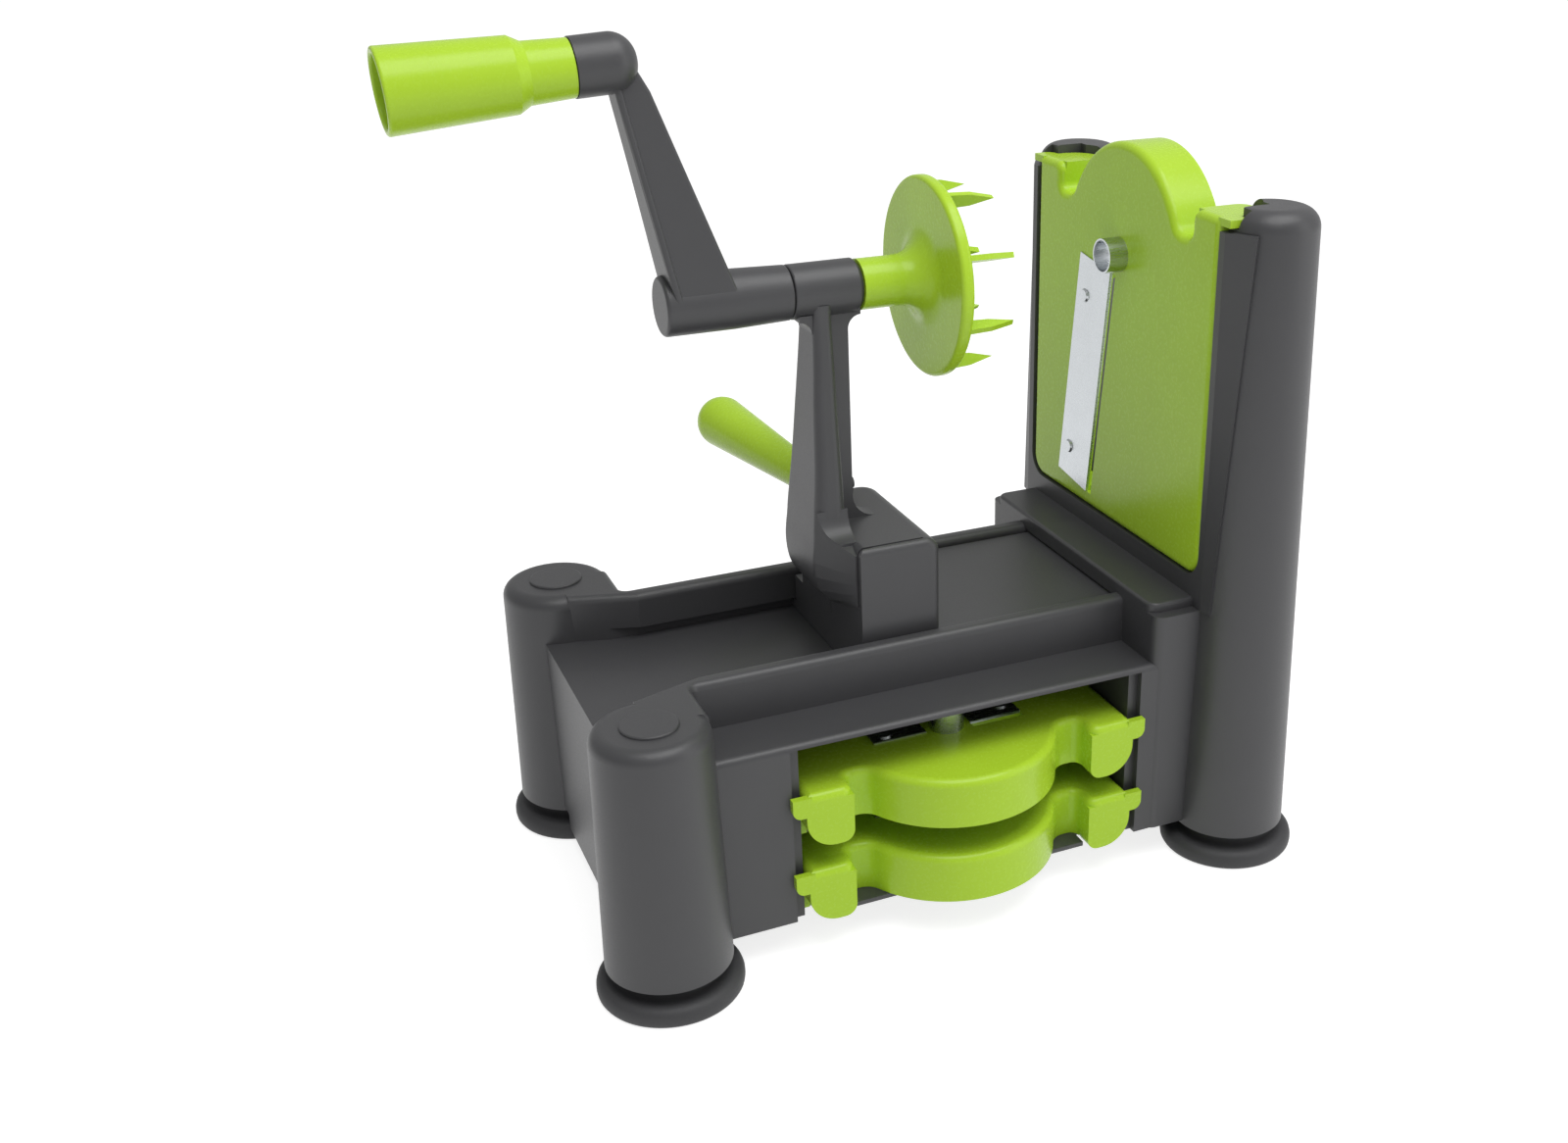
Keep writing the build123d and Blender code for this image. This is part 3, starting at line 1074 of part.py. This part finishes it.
# ---------------------------------------------------------------------- assembly
def machine():
    """Every piece by its node name, still in the modelling frame."""
    pieces = {"base_body": base_body(), "tower_frame": tower_frame(),
              "tower_screws": tower_screws()}
    for side, where in zip(SIDES, ("near", "far")):
        pieces[f"post_plug_{where}"] = post_plug(side)
        pieces[f"suction_foot_low_{where}"] = suction_foot(0, side * LOW_POST_Y)
        pieces[f"suction_foot_tower_{where}"] = suction_foot(POST_PITCH, side * TALL_POST_Y)
    pieces["carriage_body"] = carriage_body()
    pieces["carriage_stop"] = carriage_stop()
    pieces["bearing_bush_left"] = bearing_bush(-1)
    pieces["bearing_bush_right"] = bearing_bush(1)
    pieces["push_handle"] = push_handle()
    pieces["crank_arm"] = crank_arm()
    pieces["hub_cross_pin"] = hub_cross_pin()
    pieces["drive_shaft"] = drive_shaft()
    pieces["food_holder"] = food_holder()
    pieces["holder_screw"] = holder_screw()
    pieces["grip_pin"] = grip_pin()
    pieces["grip_washer"] = grip_washer()
    pieces["grip"] = grip()
    pieces["ribbon_plate"] = mounted(plate_long())
    pieces["ribbon_blade"] = mounted(long_blade())
    pieces["ribbon_blade_rivets"] = mounted(long_blade_pins())
    pieces["ribbon_coring_tube"] = mounted(coring_tube())
    for name, face_z, pitch in zip(("fine", "coarse"), STORED_FACE_Z, (FINE_PITCH, COARSE_PITCH)):
        pieces[f"{name}_plate"] = stored(plate_shred(), face_z)
        pieces[f"{name}_blades"] = stored(shred_blades(), face_z)
        pieces[f"{name}_blade_rivets"] = stored(shred_pins(), face_z)
        pieces[f"{name}_comb"] = stored(comb(pitch), face_z)
        pieces[f"{name}_coring_tube"] = stored(coring_tube(), face_z)
    return pieces


def main():
    """Builds every piece, moves the origin and writes one file for each node."""
    pieces = machine()
    box = Compound(list(pieces.values())).bounding_box()
    origin = Vector(-box.center().X, -box.center().Y, -box.min.Z)
    print("row frame offset", origin)
    os.makedirs("parts", exist_ok=True)
    for name, solid in pieces.items():
        export_step(Pos(origin) * solid, f"parts/{name}.step")


main()
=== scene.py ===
"""The looks of a hand-cranked spiralizer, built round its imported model.

The machine is a base of charcoal plastic on four rubber suction feet, a carriage
with a crank and a lime green food holder, and a tower that holds a lime green
cutting plate with a steel blade.  Two more cutting plates lie in the base.
Lengths are in metres, or in millimetres where a name or a comment says so, and
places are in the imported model's own frame.
"""
import json
from math import cos, pi, radians, sin

import bmesh
import bpy
from bpy.props import FloatProperty, FloatVectorProperty, PointerProperty, StringProperty
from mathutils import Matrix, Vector


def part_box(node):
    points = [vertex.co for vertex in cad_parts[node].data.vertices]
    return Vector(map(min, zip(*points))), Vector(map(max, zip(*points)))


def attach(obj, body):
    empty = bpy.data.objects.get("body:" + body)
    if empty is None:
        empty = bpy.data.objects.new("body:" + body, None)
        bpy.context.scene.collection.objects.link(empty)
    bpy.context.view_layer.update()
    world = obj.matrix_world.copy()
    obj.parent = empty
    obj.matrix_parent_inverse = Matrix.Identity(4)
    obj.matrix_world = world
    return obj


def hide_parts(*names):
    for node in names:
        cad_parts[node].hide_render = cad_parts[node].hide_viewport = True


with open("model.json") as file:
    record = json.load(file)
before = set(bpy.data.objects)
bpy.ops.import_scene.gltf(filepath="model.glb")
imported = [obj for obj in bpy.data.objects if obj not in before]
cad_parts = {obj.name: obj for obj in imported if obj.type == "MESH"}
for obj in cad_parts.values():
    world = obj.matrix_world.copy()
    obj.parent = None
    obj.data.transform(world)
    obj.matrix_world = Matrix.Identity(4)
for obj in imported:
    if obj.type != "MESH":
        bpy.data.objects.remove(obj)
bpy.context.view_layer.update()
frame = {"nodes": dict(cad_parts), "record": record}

bl_info = {
    "name": "Spiralizer Looks",
    "version": (1, 0, 0),
    "blender": (4, 5, 0),
    "location": "3D View > Sidebar > Spiralizer",
    "description": "Finishes and detail pieces for a hand-cranked spiralizer",
    "category": "Object",
}

MM = 0.001
SLOT_OF = {part["node"]: part["material_slot"] for part in frame["record"]["subparts"]}

WHITE = (1, 1, 1, 1)
FINISHES = {}

# most of a noise texture lies between these two values
NOISE_LOW, NOISE_HIGH = 0.3, 0.7
GRAIN_DETAIL = 2.0

# the skin of a moulding: fine die texture, and a slow waviness under it
PLASTIC_IOR = 1.5
DIE_DETAIL = 3.0
DIE_BUMP = 0.35
WAVE_MM = 14.0
WAVE_HEIGHT_MM = 0.06
WAVE_BUMP = 0.3
ROUGHNESS_CHANGE = 0.04

# stainless steel: fine brushed lines, and broad patches of tone
LINE_MM = 0.5
LINE_DETAIL = 4.0
LINE_HEIGHT_MM = 0.02
LINE_BUMP = 0.5
PATCH_MM = 9.0
PATCH_CHANGE = 0.05
STEEL_ROUGHNESS = (0.22, 0.36)

# each packed foot and the name of the cup that takes its place
FEET = {
    "suction_foot_low_near": "cup_low_near", "suction_foot_low_far": "cup_low_far",
    "suction_foot_tower_near": "cup_tower_near", "suction_foot_tower_far": "cup_tower_far",
}
# radius and height of the cup's section in millimetres, from its dished underside,
# round its thick rim and up its neck to the stud
FOOT_SECTION = (
    (0.0, 5.0), (6.0, 4.8), (11.0, 4.0), (16.0, 2.2), (20.4, 0.1), (21.0, 0.0), (22.0, 0.0),
    (22.7, 0.4), (23.2, 1.2), (23.4, 2.4), (23.35, 3.7), (23.0, 4.9), (22.3, 5.8), (21.3, 6.35),
    (20.1, 6.45), (18.8, 6.3), (17.5, 6.25), (16.3, 6.5), (15.3, 7.1), (14.6, 8.0), (14.2, 9.2),
    (14.0, 10.6), (14.0, 13.0), (5.0, 13.0), (5.0, 17.0), (6.4, 17.0), (6.4, 18.5), (4.0, 22.5),
    (0.0, 22.5))
FOOT_SEGMENTS = 96
WELD = 1e-6
SHARP_FROM = radians(50)

# the floor's paint, and the share and strength of the white that is seen on it
FLOOR_ROUGHNESS = 0.9
FLOOR_WHITE_SHARE = 0.5
FLOOR_WHITE_STRENGTH = 1.6

# the sky's strength runs along X from a share of its value to the whole
SKY_WEAK_SHARE = 0.7
SKY_WEAK_X = -0.8
SKY_FULL_X = 0.5

LAMP_TARGET = (0.0, 0.0, 0.12)
KEY_PLACE = (0.15, -0.35, 1.15)
KEY_SIZE = (1.1, 0.7)
FILL_PLACE = (0.95, -0.75, 0.5)
FILL_SIZE = (0.6, 0.9)

SENSOR_MM = 36.0
CAMERA_SHIFT = (-0.1105, 0.0306)


# ------------------------------------------------------------------------ colour
def linear(hex_value):
    """An sRGB hex colour such as #9ccb2c as linear red, green, blue and alpha."""
    channels = [int(hex_value[i:i + 2], 16) / 255 for i in (1, 3, 5)]
    return [c / 12.92 if c <= 0.04045 else ((c + 0.055) / 1.055) ** 2.4 for c in channels] + [1.0]


def hex_colour(name, description, default):
    """A colour property that holds an sRGB hex value."""
    return StringProperty(name=name, description=description, default=default, maxlen=7)


# -------------------------------------------------------------------- properties
class SpiralizerFinishes(bpy.types.PropertyGroup):
    """Colours and surface values of the machine's materials."""

    charcoal: hex_colour(
        "Charcoal", "Satin moulded plastic of base, tower, carriage and crank", "#404042")
    charcoal_roughness: FloatProperty(
        name="Charcoal roughness", description="Satin sheen of the charcoal mouldings",
        default=0.42, min=0.0, max=1.0)
    lime: hex_colour(
        "Lime", "Glossy moulded plastic of plates, food holder, grip and handle", "#a8cd30")
    lime_roughness: FloatProperty(
        name="Lime roughness", description="Gloss of the lime green mouldings",
        default=0.26, min=0.0, max=1.0)
    rubber: hex_colour("Rubber", "Soft dark grey rubber of the feet", "#38383a")
    steel: hex_colour("Steel", "Brushed stainless steel of blades, shaft and tubes", "#c3c7ca")
    acetal: hex_colour("Acetal", "Natural acetal of the bearing bushes", "#dedcd4")


class SpiralizerStage(bpy.types.PropertyGroup):
    """The floor, the lamps and the camera."""

    floor_colour: hex_colour("Floor", "Plain pale floor", "#f4f4f4")
    floor_size: FloatProperty(name="Floor size", description="Side of the floor",
                              default=8.0, unit="LENGTH")
    sky: FloatProperty(name="Sky", description="Strength of the world's light", default=0.6)
    key_power: FloatProperty(name="Key lamp", description="Power of the overhead lamp",
                             default=9.0, unit="POWER")
    fill_power: FloatProperty(name="Fill lamp", description="Power of the front lamp",
                              default=2.0, unit="POWER")
    camera_place: FloatVectorProperty(
        name="Camera place", description="Where the camera stands",
        default=(-0.19826, -0.49713, 0.33519), subtype="TRANSLATION", unit="LENGTH")
    camera_yaw: FloatProperty(name="Camera yaw", description="Turn from +Y towards +X",
                              default=radians(25.34), subtype="ANGLE")
    camera_pitch: FloatProperty(name="Camera pitch", description="Tilt below the horizon",
                                default=radians(25.36), subtype="ANGLE")
    lens: FloatProperty(name="Lens", description="Focal length in millimetres", default=38.87)


# ------------------------------------------------------------------------- nodes
def add(tree, kind, sockets=None, **fields):
    """Adds a node, sets its fields, and sets or links its sockets."""
    item = tree.nodes.new(kind)
    for field, value in fields.items():
        setattr(item, field, value)
    for name, value in (sockets or {}).items():
        if isinstance(value, bpy.types.NodeSocket):
            tree.links.new(value, item.inputs[name])
        else:
            item.inputs[name].default_value = value
    return item


def any_ray(tree, *kinds):
    """1 for a ray of any of the kinds, which are outputs of the light path, or else 0."""
    path = add(tree, "ShaderNodeLightPath")
    answer = path.outputs[kinds[0]]
    for kind in kinds[1:]:
        either = add(tree, "ShaderNodeMath", operation="MAXIMUM")
        tree.links.new(answer, either.inputs[0])
        tree.links.new(path.outputs[kind], either.inputs[1])
        answer = either.outputs[0]
    return answer


def mix_shaders(tree, factor, first, second):
    """The first shader where the factor is 0, and the second where it is 1."""
    mixed = add(tree, "ShaderNodeMixShader")
    for target, source in zip(mixed.inputs, (factor, first, second)):
        tree.links.new(source, target)
    return mixed.outputs[0]


# --------------------------------------------------------------------- materials
def material(name):
    """A new material, its tree with an output and a shader, and the shader."""
    made = bpy.data.materials.new(name)
    made.use_nodes = True
    tree = made.node_tree
    tree.nodes.clear()
    shader = add(tree, "ShaderNodeBsdfPrincipled")
    add(tree, "ShaderNodeOutputMaterial", {"Surface": shader.outputs["BSDF"]})
    return made, tree, shader


def grain(tree, size_mm, detail=GRAIN_DETAIL, stretch=(1.0, 1.0, 1.0)):
    """Noise with features of a given size, in the piece's own space."""
    place = add(tree, "ShaderNodeTexCoord")
    turned = add(tree, "ShaderNodeMapping", {"Vector": place.outputs["Object"], "Scale": stretch})
    return add(tree, "ShaderNodeTexNoise",
               {"Vector": turned.outputs["Vector"], "Scale": 1 / (size_mm * MM), "Detail": detail})


def spread(tree, value, low, high):
    """A noise value moved into the range from low to high."""
    return add(tree, "ShaderNodeMapRange",
               {"Value": value, "From Min": NOISE_LOW, "From Max": NOISE_HIGH,
                "To Min": low, "To Max": high})


def two_tone(tree, value, hex_value, change):
    """The colour, made a little darker and lighter by a value."""
    base = linear(hex_value)
    darker = [c * (1 - change) for c in base[:3]] + [1.0]
    lighter = [min(1.0, c * (1 + change)) for c in base[:3]] + [1.0]
    mixed = add(tree, "ShaderNodeMix", data_type="RGBA")
    tree.links.new(value, mixed.inputs["Factor"])
    # the mix node's sixth and seventh inputs and second output are those of colours
    mixed.inputs[6].default_value = darker
    mixed.inputs[7].default_value = lighter
    return mixed.outputs[2]


def moulded(name, hex_value, roughness, grain_mm, grain_height_mm, change, mirror=0.5):
    """Injection moulded plastic: fine die texture over a slow, barely seen waviness."""
    made, tree, shader = material(name)
    flow = grain(tree, WAVE_MM)
    fine = grain(tree, grain_mm, detail=DIE_DETAIL)
    bump = add(tree, "ShaderNodeBump", {"Height": fine.outputs["Fac"], "Strength": DIE_BUMP,
                                        "Distance": grain_height_mm * MM})
    wave = add(tree, "ShaderNodeBump", {"Height": flow.outputs["Fac"], "Strength": WAVE_BUMP,
                                        "Distance": WAVE_HEIGHT_MM * MM,
                                        "Normal": bump.outputs["Normal"]})
    tree.links.new(two_tone(tree, flow.outputs["Fac"], hex_value, change),
                   shader.inputs["Base Color"])
    rough = spread(tree, fine.outputs["Fac"], roughness - ROUGHNESS_CHANGE,
                   roughness + ROUGHNESS_CHANGE)
    tree.links.new(rough.outputs["Result"], shader.inputs["Roughness"])
    tree.links.new(wave.outputs["Normal"], shader.inputs["Normal"])
    shader.inputs["IOR"].default_value = PLASTIC_IOR
    shader.inputs["Specular IOR Level"].default_value = mirror
    return made


def brushed_steel(name, hex_value, stretch):
    """Stainless steel with fine lines, drawn out along the axis whose stretch is small."""
    made, tree, shader = material(name)
    lines = grain(tree, LINE_MM, detail=LINE_DETAIL, stretch=stretch)
    patches = grain(tree, PATCH_MM)
    bump = add(tree, "ShaderNodeBump", {"Height": lines.outputs["Fac"], "Strength": LINE_BUMP,
                                        "Distance": LINE_HEIGHT_MM * MM})
    tree.links.new(two_tone(tree, patches.outputs["Fac"], hex_value, PATCH_CHANGE),
                   shader.inputs["Base Color"])
    rough = spread(tree, lines.outputs["Fac"], *STEEL_ROUGHNESS)
    tree.links.new(rough.outputs["Result"], shader.inputs["Roughness"])
    tree.links.new(bump.outputs["Normal"], shader.inputs["Normal"])
    shader.inputs["Metallic"].default_value = 1.0
    return made


def finishes():
    """The machine's materials by the record's slot, made once."""
    look = bpy.context.scene.spiralizer_finishes
    makers = {
        # ABS from a spark-eroded mould: a satin skin that spreads the light evenly
        "charcoal_plastic": lambda: moulded(
            "satin_moulded_ABS_charcoal", look.charcoal, look.charcoal_roughness,
            grain_mm=0.5, grain_height_mm=0.03, change=0.04),
        # ABS from a polished mould: clear reflections over a strong even colour
        "lime_plastic": lambda: moulded(
            "gloss_moulded_ABS_lime", look.lime, look.lime_roughness,
            grain_mm=1.2, grain_height_mm=0.006, change=0.03, mirror=0.3),
        # acetal, turned: dense, slightly waxy white
        "white_plastic": lambda: moulded(
            "turned_acetal_natural", look.acetal, 0.38,
            grain_mm=0.4, grain_height_mm=0.01, change=0.02),
        # stainless strip and rod, brushed along X
        "steel": lambda: brushed_steel("brushed_stainless_steel", look.steel, (0.08, 1.0, 1.0)),
        # moulded nitrile rubber: dull, with a soft sheen at the rim
        "black_rubber": lambda: moulded(
            "moulded_rubber_dark_grey", look.rubber, 0.62,
            grain_mm=0.6, grain_height_mm=0.05, change=0.05),
    }
    for slot, make in makers.items():
        if slot not in FINISHES:
            FINISHES[slot] = make()
    return FINISHES


def finish_nodes(names):
    """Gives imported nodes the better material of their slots."""
    looks = finishes()
    for name in names:
        for holder in frame["nodes"][name].material_slots:
            holder.material = looks[SLOT_OF[name]]


# ------------------------------------------------------------------------ shapes
def lathe(name, section, segments, x, y):
    """A closed solid turned about an upright axis at (x, y).

    The section is a row of (radius, height) points in millimetres.
    """
    shape = bmesh.new()
    points = [shape.verts.new((r * MM, 0.0, z * MM)) for r, z in section]
    edges = [shape.edges.new(pair) for pair in zip(points, points[1:])]
    bmesh.ops.spin(shape, geom=points + edges, cent=(0, 0, 0), axis=(0, 0, 1), angle=2 * pi,
                   steps=segments, use_merge=True)
    bmesh.ops.remove_doubles(shape, verts=shape.verts[:], dist=WELD)
    bmesh.ops.recalc_face_normals(shape, faces=shape.faces[:])
    bmesh.ops.translate(shape, verts=shape.verts[:], vec=(x, y, 0))
    mesh = bpy.data.meshes.new(name)
    shape.to_mesh(mesh)
    shape.free()
    mesh.shade_smooth()
    mesh.set_sharp_from_angle(angle=SHARP_FROM)
    made = bpy.data.objects.new(name, mesh)
    bpy.context.scene.collection.objects.link(made)
    return made


# ------------------------------------------------------------------------- stage
def seen_white(tree, shader_socket, share, strength):
    """Mixes white into a shader for rays that see it straight, mirrored or through glass."""
    seen = any_ray(tree, "Is Camera Ray", "Is Glossy Ray", "Is Transmission Ray")
    amount = add(tree, "ShaderNodeMath", operation="MULTIPLY")
    tree.links.new(seen, amount.inputs[0])
    amount.inputs[1].default_value = share
    white = add(tree, "ShaderNodeEmission", {"Color": WHITE, "Strength": strength})
    return mix_shaders(tree, amount.outputs[0], shader_socket, white.outputs[0])


def make_floor(stage):
    """A plain pale floor that keeps the machine's soft shadow."""
    mesh = bpy.data.meshes.new("floor")
    shape = bmesh.new()
    bmesh.ops.create_grid(shape, x_segments=1, y_segments=1, size=stage.floor_size / 2)
    shape.to_mesh(mesh)
    shape.free()
    floor = bpy.data.objects.new("floor", mesh)
    bpy.context.scene.collection.objects.link(floor)
    made, tree, shader = material("matt_white_paint")
    shader.inputs["Base Color"].default_value = linear(stage.floor_colour)
    shader.inputs["Roughness"].default_value = FLOOR_ROUGHNESS
    output = next(n for n in tree.nodes if n.type == "OUTPUT_MATERIAL")
    painted = seen_white(tree, shader.outputs["BSDF"], FLOOR_WHITE_SHARE, FLOOR_WHITE_STRENGTH)
    tree.links.new(painted, output.inputs["Surface"])
    mesh.materials.append(made)


def make_world(stage):
    """White light, weaker from the crank's side, and pure white where the world is seen."""
    world = bpy.data.worlds.new("studio")
    world.use_nodes = True
    tree = world.node_tree
    tree.nodes.clear()
    place = add(tree, "ShaderNodeTexCoord")
    axes = add(tree, "ShaderNodeSeparateXYZ", {"Vector": place.outputs["Generated"]})
    falling = add(tree, "ShaderNodeMapRange",
                  {"Value": axes.outputs["X"], "From Min": SKY_WEAK_X, "From Max": SKY_FULL_X,
                   "To Min": stage.sky * SKY_WEAK_SHARE, "To Max": stage.sky})
    light = add(tree, "ShaderNodeBackground",
                {"Color": WHITE, "Strength": falling.outputs["Result"]})
    white = add(tree, "ShaderNodeBackground", {"Color": WHITE, "Strength": 1.0})
    seen = any_ray(tree, "Is Camera Ray", "Is Transmission Ray")
    add(tree, "ShaderNodeOutputWorld",
        {"Surface": mix_shaders(tree, seen, light.outputs[0], white.outputs[0])})
    bpy.context.scene.world = world


def lamp(name, power, size, place):
    """A rectangular soft lamp at a place, turned to the machine."""
    light = bpy.data.lights.new(name, "AREA")
    light.energy = power
    light.shape = "RECTANGLE"
    light.size, light.size_y = size
    holder = bpy.data.objects.new(name, light)
    holder.location = place
    towards = Vector(LAMP_TARGET) - Vector(place)
    holder.rotation_euler = towards.to_track_quat("-Z", "Y").to_euler()
    bpy.context.scene.collection.objects.link(holder)


def make_lamps(stage):
    """A broad overhead lamp and a weaker one in front."""
    lamp("key_lamp", stage.key_power, KEY_SIZE, KEY_PLACE)
    lamp("fill_lamp", stage.fill_power, FILL_SIZE, FILL_PLACE)


def make_camera(stage):
    """The camera at the photograph's place, with its framing."""
    data = bpy.data.cameras.new("camera")
    data.sensor_width = SENSOR_MM
    data.lens = stage.lens
    data.shift_x, data.shift_y = CAMERA_SHIFT
    camera = bpy.data.objects.new("camera", data)
    yaw, pitch = stage.camera_yaw, stage.camera_pitch
    ahead = Vector((sin(yaw) * cos(pitch), cos(yaw) * cos(pitch), -sin(pitch)))
    camera.location = stage.camera_place
    camera.rotation_euler = ahead.to_track_quat("-Z", "Y").to_euler()
    bpy.context.scene.collection.objects.link(camera)
    bpy.context.scene.camera = camera


# --------------------------------------------------------------------- operators
class SPIRALIZER_OT_mouldings(bpy.types.Operator):
    """Finishes the charcoal mouldings: base, tower, carriage, crank and plugs"""

    bl_idname = "spiralizer.mouldings"
    bl_label = "Charcoal mouldings"

    def execute(self, context):
        finish_nodes([n for n, slot in SLOT_OF.items() if slot == "charcoal_plastic"])
        return {"FINISHED"}


class SPIRALIZER_OT_green_parts(bpy.types.Operator):
    """Finishes the lime green parts: plates, food holder, grip and push handle"""

    bl_idname = "spiralizer.green_parts"
    bl_label = "Lime green parts"

    def execute(self, context):
        finish_nodes([n for n, slot in SLOT_OF.items() if slot == "lime_plastic"])
        return {"FINISHED"}


class SPIRALIZER_OT_hardware(bpy.types.Operator):
    """Finishes the steel parts and the bushes"""

    bl_idname = "spiralizer.hardware"
    bl_label = "Steel and bushes"

    def execute(self, context):
        finish_nodes([n for n, slot in SLOT_OF.items() if slot in ("steel", "white_plastic")])
        return {"FINISHED"}


class SPIRALIZER_OT_feet(bpy.types.Operator):
    """Makes the four rubber suction cups with their thick rolled rims"""

    bl_idname = "spiralizer.feet"
    bl_label = "Suction cups"

    def execute(self, context):
        for node, name in FEET.items():
            low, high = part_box(node)
            x, y = (low[0] + high[0]) / 2, (low[1] + high[1]) / 2
            cup = lathe(name, FOOT_SECTION, FOOT_SEGMENTS, x, y)
            cup.data.materials.append(finishes()["black_rubber"])
            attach(cup, "base")
            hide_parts(node)
        return {"FINISHED"}


class SPIRALIZER_OT_stage(bpy.types.Operator):
    """Sets the pale floor, the world, the lamps and the camera"""

    bl_idname = "spiralizer.stage"
    bl_label = "Stage"

    def execute(self, context):
        stage = context.scene.spiralizer_stage
        context.scene.view_settings.view_transform = "Standard"
        make_floor(stage)
        make_world(stage)
        make_lamps(stage)
        make_camera(stage)
        return {"FINISHED"}


# ------------------------------------------------------------------------- panel
OPERATORS = (SPIRALIZER_OT_mouldings, SPIRALIZER_OT_green_parts, SPIRALIZER_OT_hardware,
             SPIRALIZER_OT_feet, SPIRALIZER_OT_stage)


class SPIRALIZER_PT_panel(bpy.types.Panel):
    """Lists the machine's pieces and settings"""

    bl_idname = "SPIRALIZER_PT_panel"
    bl_label = "Spiralizer"
    bl_space_type = "VIEW_3D"
    bl_region_type = "UI"
    bl_category = "Spiralizer"

    def draw(self, context):
        for operator in OPERATORS:
            self.layout.operator(operator.bl_idname)
        for group in (context.scene.spiralizer_finishes, context.scene.spiralizer_stage):
            box = self.layout.box()
            for name in group.__annotations__:
                box.prop(group, name)


CLASSES = (SpiralizerFinishes, SpiralizerStage) + OPERATORS + (SPIRALIZER_PT_panel,)


def register():
    """Registers the classes and the scene's settings."""
    for item in CLASSES:
        bpy.utils.register_class(item)
    bpy.types.Scene.spiralizer_finishes = PointerProperty(type=SpiralizerFinishes)
    bpy.types.Scene.spiralizer_stage = PointerProperty(type=SpiralizerStage)


def unregister():
    """Takes the settings and the classes away again."""
    del bpy.types.Scene.spiralizer_stage
    del bpy.types.Scene.spiralizer_finishes
    for item in reversed(CLASSES):
        bpy.utils.unregister_class(item)


def main():
    """Makes every piece and the stage."""
    register()
    bpy.ops.spiralizer.mouldings()
    bpy.ops.spiralizer.green_parts()
    bpy.ops.spiralizer.hardware()
    bpy.ops.spiralizer.feet()
    bpy.ops.spiralizer.stage()


if __name__ == "__main__":
    main()
